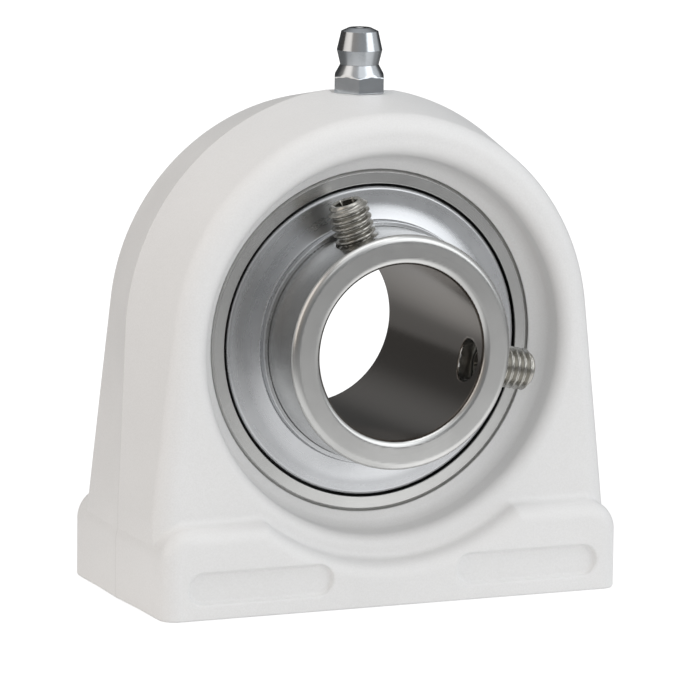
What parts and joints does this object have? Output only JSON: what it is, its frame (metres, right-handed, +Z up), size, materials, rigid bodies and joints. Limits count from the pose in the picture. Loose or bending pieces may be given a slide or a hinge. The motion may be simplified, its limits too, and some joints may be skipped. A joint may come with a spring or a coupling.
{
  "type": "pillow block bearing",
  "caption": "Tapped-base pillow block: moulded plastic housing round a self-aligning, greasable insert ball bearing with set screws for a 25 mm shaft.",
  "frame": {"origin": "centre of the mounting face under the base, with the shaft centre 36.5 mm straight above it", "axes": "+Z up from the mounting face; the shaft runs along Y, with the set-screw side of the bearing towards -Y; X runs along the base through both bolt holes"},
  "size_m": [0.071, 0.0382, 0.0805],
  "materials": {
    "housing_plastic": "satin moulded white thermoplastic with a fine grain",
    "insert_steel": "turned stainless steel",
    "ring_steel": "ground bearing steel",
    "flinger_steel": "satin pressed sheet",
    "sheet_steel": "pressed sheet",
    "ball_steel": "polished",
    "spring_steel": "drawn wire",
    "screw_steel": "stainless, rolled thread",
    "nipple_steel": "bright zinc plated",
    "seal_rubber": "matt black nitrile"
  },
  "bodies": {
    "housing_unit": {"housing": "housing_plastic", "threaded_insert_left": "insert_steel", "threaded_insert_right": "insert_steel", "grease_nipple": "nipple_steel", "nipple_spring": "spring_steel"},
    "nipple_valve": {"nipple_ball": "ball_steel"},
    "outer_race": {"outer_ring": "ring_steel", "seal_plate_front": "sheet_steel", "seal_plate_rear": "sheet_steel", "seal_rubber_front": "seal_rubber", "seal_rubber_rear": "seal_rubber"},
    "inner_race": {"inner_ring": "ring_steel", "flinger_front": "flinger_steel", "flinger_rear": "flinger_steel"},
    "cage": {"cage_half_front": "sheet_steel", "cage_half_rear": "sheet_steel", "cage_rivets": "sheet_steel"},
    "ball_1_body": {"ball_1": "ball_steel"},
    "ball_2_body": {"ball_2": "ball_steel"},
    "ball_3_body": {"ball_3": "ball_steel"},
    "ball_4_body": {"ball_4": "ball_steel"},
    "ball_5_body": {"ball_5": "ball_steel"},
    "ball_6_body": {"ball_6": "ball_steel"},
    "ball_7_body": {"ball_7": "ball_steel"},
    "ball_8_body": {"ball_8": "ball_steel"},
    "ball_9_body": {"ball_9": "ball_steel"},
    "set_screw_left_body": {"set_screw_left": "screw_steel"},
    "set_screw_right_body": {"set_screw_right": "screw_steel"}
  },
  "joints": [
    {"name": "self_align", "type": "hinge", "parent": "housing_unit", "child": "outer_race", "pos_m": [0, 0, 0.0365], "axis": [1, 0, 0], "range_deg": [-3, 3]},
    {"name": "inner_spin", "type": "hinge", "parent": "outer_race", "child": "inner_race", "pos_m": [0, 0, 0.0365], "axis": [0, 1, 0], "continuous": true},
    {"name": "cage_spin", "type": "hinge", "parent": "outer_race", "child": "cage", "pos_m": [0, 0, 0.0365], "axis": [0, 1, 0], "continuous": true},
    {"name": "nipple_valve_press", "type": "slide", "parent": "housing_unit", "child": "nipple_valve", "axis": [0, 0, -1], "range_m": [0, 0.0008], "stiffness_N_per_m": 200, "springref_m": -0.001, "deforming": ["nipple_spring"]},
    {"name": "ball_1_spin", "type": "hinge", "parent": "cage", "child": "ball_1_body", "pos_m": [0, 0, 0.05602], "axis": [0, 1, 0], "continuous": true},
    {"name": "ball_2_spin", "type": "hinge", "parent": "cage", "child": "ball_2_body", "pos_m": [0.01255, 0, 0.05145], "axis": [0, 1, 0], "continuous": true},
    {"name": "ball_3_spin", "type": "hinge", "parent": "cage", "child": "ball_3_body", "pos_m": [0.01922, 0, 0.03989], "axis": [0, 1, 0], "continuous": true},
    {"name": "ball_4_spin", "type": "hinge", "parent": "cage", "child": "ball_4_body", "pos_m": [0.0169, 0, 0.02674], "axis": [0, 1, 0], "continuous": true},
    {"name": "ball_5_spin", "type": "hinge", "parent": "cage", "child": "ball_5_body", "pos_m": [0.00668, 0, 0.01816], "axis": [0, 1, 0], "continuous": true},
    {"name": "ball_6_spin", "type": "hinge", "parent": "cage", "child": "ball_6_body", "pos_m": [-0.00668, 0, 0.01816], "axis": [0, 1, 0], "continuous": true},
    {"name": "ball_7_spin", "type": "hinge", "parent": "cage", "child": "ball_7_body", "pos_m": [-0.0169, 0, 0.02674], "axis": [0, 1, 0], "continuous": true},
    {"name": "ball_8_spin", "type": "hinge", "parent": "cage", "child": "ball_8_body", "pos_m": [-0.01922, 0, 0.03989], "axis": [0, 1, 0], "continuous": true},
    {"name": "ball_9_spin", "type": "hinge", "parent": "cage", "child": "ball_9_body", "pos_m": [-0.01255, 0, 0.05145], "axis": [0, 1, 0], "continuous": true},
    {"name": "set_screw_left_travel", "type": "slide", "parent": "inner_race", "child": "set_screw_left_body", "axis": [-0.3173, 0, 0.9483], "range_m": [-0.0017, 0.0008]},
    {"name": "set_screw_right_travel", "type": "slide", "parent": "inner_race", "child": "set_screw_right_body", "axis": [0.9799, 0, -0.1994], "range_m": [-0.0017, 0.0008]}
  ],
  "couplings": [
    {"joint": "cage_spin", "follows": "inner_spin", "ratio": 0.39834},
    {"joint": "ball_1_spin", "follows": "inner_spin", "ratio": -2.3574},
    {"joint": "ball_2_spin", "follows": "inner_spin", "ratio": -2.3574},
    {"joint": "ball_3_spin", "follows": "inner_spin", "ratio": -2.3574},
    {"joint": "ball_4_spin", "follows": "inner_spin", "ratio": -2.3574},
    {"joint": "ball_5_spin", "follows": "inner_spin", "ratio": -2.3574},
    {"joint": "ball_6_spin", "follows": "inner_spin", "ratio": -2.3574},
    {"joint": "ball_7_spin", "follows": "inner_spin", "ratio": -2.3574},
    {"joint": "ball_8_spin", "follows": "inner_spin", "ratio": -2.3574},
    {"joint": "ball_9_spin", "follows": "inner_spin", "ratio": -2.3574}
  ]
}
